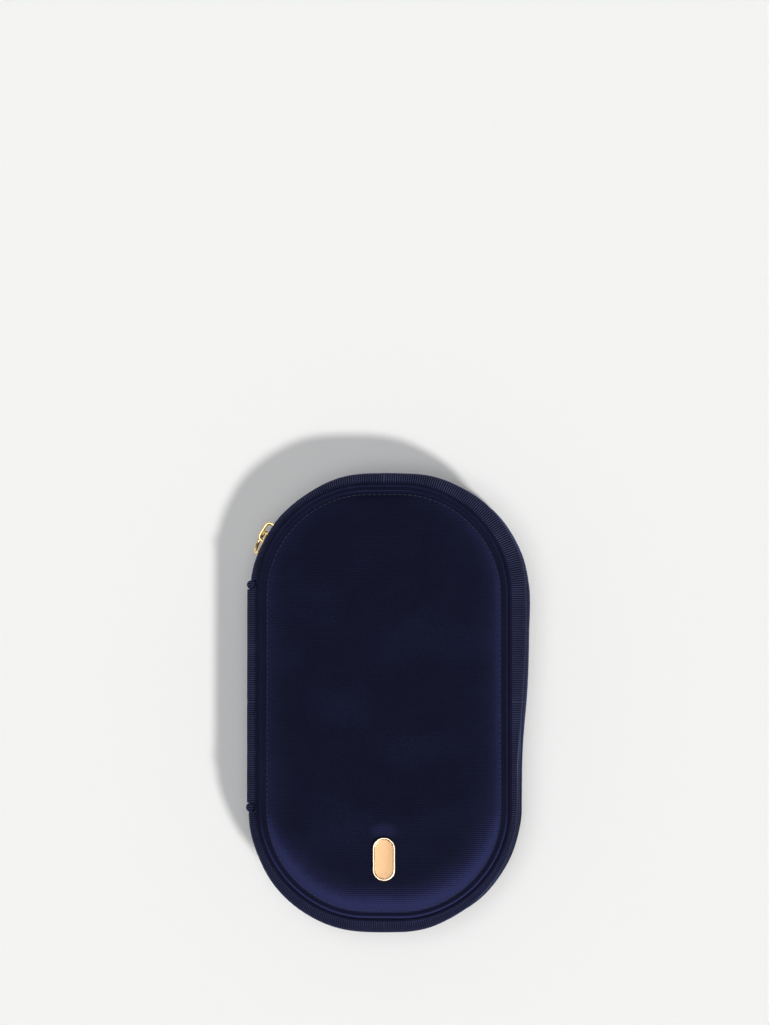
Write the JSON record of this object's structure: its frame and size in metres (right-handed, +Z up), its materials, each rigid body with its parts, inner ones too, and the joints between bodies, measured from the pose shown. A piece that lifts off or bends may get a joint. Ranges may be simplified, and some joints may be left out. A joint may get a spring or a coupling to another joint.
{
  "type": "zip-around earbuds carry case",
  "caption": "Padded velvet zip-around carry case with a fabric hinge, gold zip slider and pull ring, and an organiser tray inside.",
  "frame": {"origin": "centre of the footprint, on the surface the case rests on", "axes": "+X away from the fabric hinge, +Y along the case towards the zip slider's closed end, +Z up through the lid"},
  "size_m": [0.1036, 0.1696, 0.0501],
  "materials": {
    "velvet": "short pile velvet",
    "velvet_trim": "satin woven trim",
    "lining": "brushed lining",
    "foam": "soft closed-cell foam",
    "board": "stiffening board",
    "tape": "woven zip tape",
    "coil": "nylon coil",
    "gold": "polished gold plate",
    "steel": "satin"
  },
  "bodies": {
    "base": {"bottom_cover": "velvet", "base_rim_welt": "velvet_trim", "bottom_board": "board", "base_wall_velvet": "velvet", "base_wall_foam": "foam", "base_wall_board": "board", "base_floor_lining": "lining", "base_wall_lining": "lining", "insert_tray": "lining", "tray_lift_ribbon": "velvet_trim", "spine_panel": "velvet", "spine_lining": "lining", "spine_roll_upper": "velvet", "spine_roll_lower": "velvet", "zip_tape_base": "tape", "zip_coil_base": "coil", "zip_start_stop_base": "gold", "zip_end_stop_base": "gold"},
    "lid": {"lid_cover": "velvet", "lid_foam_pad": "foam", "lid_board": "board", "lid_rim_welt": "velvet_trim", "lid_wall_velvet": "velvet", "lid_wall_foam": "foam", "lid_wall_board": "board", "lid_lining_panel": "lining", "lid_wall_lining": "lining", "mesh_pocket": "lining", "pocket_binding": "velvet_trim", "zip_tape_lid": "tape", "zip_coil_lid": "coil", "zip_start_stop_lid": "gold", "zip_end_stop_lid": "gold", "lid_badge": "gold", "badge_washer_upper": "steel", "badge_washer_lower": "steel"},
    "zip_slider": {"slider_body": "gold", "slider_bail": "gold"},
    "zip_pull": {"pull_ring": "gold"}
  },
  "joints": [
    {"name": "lid_hinge", "type": "hinge", "parent": "base", "child": "lid", "pos_m": [-0.0496, 0, 0.027], "axis": [0, -1, 0], "range_deg": [0, 130], "deforming": ["spine_panel", "spine_lining", "spine_roll_upper", "spine_roll_lower"]},
    {"name": "zip_slider_travel", "type": "hinge", "parent": "base", "child": "zip_slider", "pos_m": [-0.00665, 0.03965, 0.027], "axis": [0, 0, -1], "range_deg": [0, 58]},
    {"name": "zip_pull_swing", "type": "hinge", "parent": "zip_slider", "child": "zip_pull", "pos_m": [-0.04604, 0.06407, 0.027], "axis": [0, 0, -1], "range_deg": [0, 130]}
  ]
}
